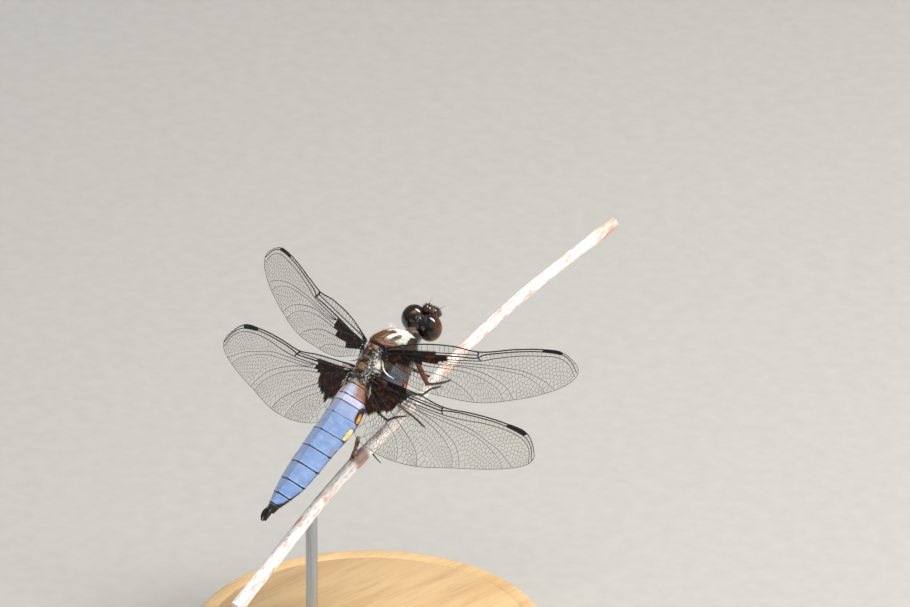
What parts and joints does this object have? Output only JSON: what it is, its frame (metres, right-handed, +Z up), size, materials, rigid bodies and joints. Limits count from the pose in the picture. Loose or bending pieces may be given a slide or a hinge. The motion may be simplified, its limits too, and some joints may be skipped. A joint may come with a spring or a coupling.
{
  "type": "dragonfly model",
  "caption": "Life-size still model of a male broad-bodied chaser dragonfly, wings spread, gripping a cut dry stem held by a rod on a round wooden base",
  "frame": {"origin": "centre of the underside of the stand's round base", "axes": "+Z up, the insect faces -Y with its head up along the stem, its right wings point to -X"},
  "size_m": [0.0747, 0.0882, 0.0649],
  "materials": {
    "eye": "polished dark brown",
    "face": "dark brown, shiny",
    "thorax": "brown cuticle with fine hair",
    "blue_bloom": "powdery pale blue",
    "black_cuticle": "black, satin",
    "red_cuticle": "red brown, satin",
    "wing_membrane": "clear, faintly smoky",
    "dry_stem": "weathered pale stem",
    "maple": "oiled, fine grain",
    "steel": "brushed"
  },
  "bodies": {
    "root": {"eye_right": "eye", "eye_left": "eye", "frons": "face", "vertex": "face", "clypeus": "face", "labrum": "face", "labium": "face", "head_capsule": "face", "antenna_right": "black_cuticle", "antenna_left": "black_cuticle", "prothorax": "thorax", "mesothorax": "thorax", "metathorax": "thorax", "abdomen_1": "blue_bloom", "abdomen_2": "blue_bloom", "abdomen_3": "blue_bloom", "abdomen_4": "blue_bloom", "abdomen_5": "blue_bloom", "abdomen_6": "blue_bloom", "abdomen_7": "blue_bloom", "abdomen_8": "blue_bloom", "abdomen_9": "blue_bloom", "abdomen_10": "black_cuticle", "cercus_right": "black_cuticle", "cercus_left": "black_cuticle", "epiproct": "black_cuticle", "forewing_right": "wing_membrane", "forewing_left": "wing_membrane", "hindwing_right": "wing_membrane", "hindwing_left": "wing_membrane", "pterostigma_fore_right": "black_cuticle", "pterostigma_fore_left": "black_cuticle", "pterostigma_hind_right": "black_cuticle", "pterostigma_hind_left": "black_cuticle", "femur_fore_right": "red_cuticle", "femur_fore_left": "red_cuticle", "femur_mid_right": "red_cuticle", "femur_mid_left": "red_cuticle", "femur_hind_right": "red_cuticle", "femur_hind_left": "red_cuticle", "tibia_fore_right": "black_cuticle", "tibia_fore_left": "black_cuticle", "tibia_mid_right": "black_cuticle", "tibia_mid_left": "black_cuticle", "tibia_hind_right": "black_cuticle", "tibia_hind_left": "black_cuticle", "tarsus_fore_right": "black_cuticle", "tarsus_fore_left": "black_cuticle", "tarsus_mid_right": "black_cuticle", "tarsus_mid_left": "black_cuticle", "tarsus_hind_right": "black_cuticle", "tarsus_hind_left": "black_cuticle", "perch_stem": "dry_stem", "perch_spur": "dry_stem", "stand_base": "maple", "stand_rod": "steel"}
  },
  "joints": []
}
